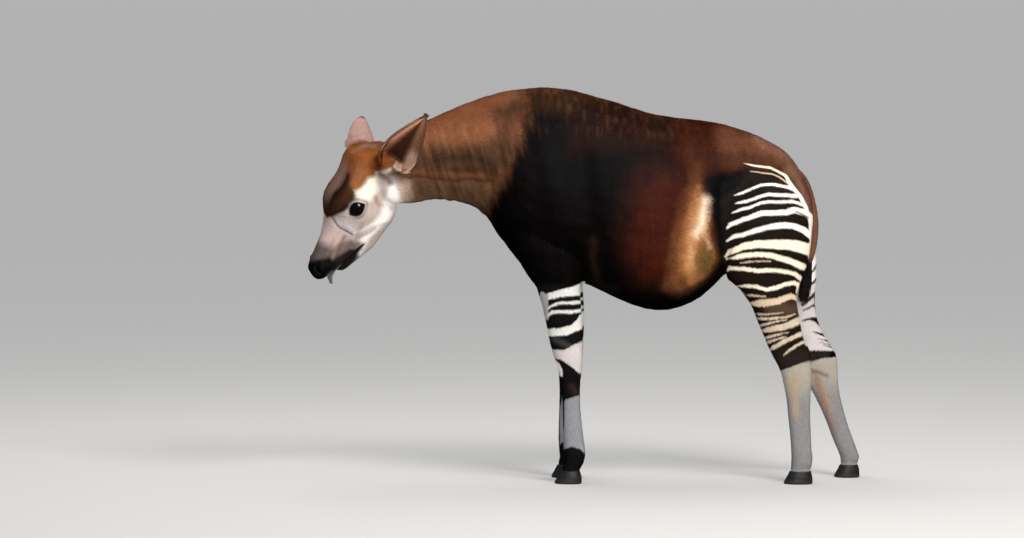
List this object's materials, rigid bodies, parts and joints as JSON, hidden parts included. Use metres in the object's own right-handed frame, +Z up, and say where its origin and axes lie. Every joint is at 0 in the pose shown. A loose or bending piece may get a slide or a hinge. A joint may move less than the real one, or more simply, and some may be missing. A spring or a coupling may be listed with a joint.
{
  "type": "okapi",
  "caption": "Adult okapi cow, standing with its neck stretched forward, head hung low and ears back, banded haunches and legs",
  "frame": {"origin": "centre of the bounding box, on the floor under the hooves", "axes": "-X is the way the animal faces, -Y is its left side, +Z is up"},
  "size_m": [2.1894, 0.5042, 1.5514],
  "materials": {
    "coat_body": "short velvety coat, dark red-brown to black",
    "coat_neck": "short velvety coat, reddish brown",
    "coat_face": "short coat, pale grey cheeks with a red-brown forehead and a dark muzzle",
    "coat_leg": "short coat, white with dark brown bands",
    "coat_tail": "short coat with a dark tuft of longer hair",
    "hoof": "dark horn, dull",
    "eye": "wet, glossy, nearly black",
    "tongue": "wet, blue-grey"
  },
  "bodies": {
    "root": {"torso": "coat_body", "neck": "coat_neck", "head": "coat_face", "ear_left": "coat_neck", "ear_right": "coat_neck", "eye_left": "eye", "eye_right": "eye", "tongue": "tongue", "foreleg_left": "coat_leg", "foreleg_right": "coat_leg", "hind_leg_left": "coat_leg", "hind_leg_right": "coat_leg", "hoof_fore_left": "hoof", "hoof_fore_right": "hoof", "hoof_hind_left": "hoof", "hoof_hind_right": "hoof", "tail": "coat_tail"}
  },
  "joints": []
}
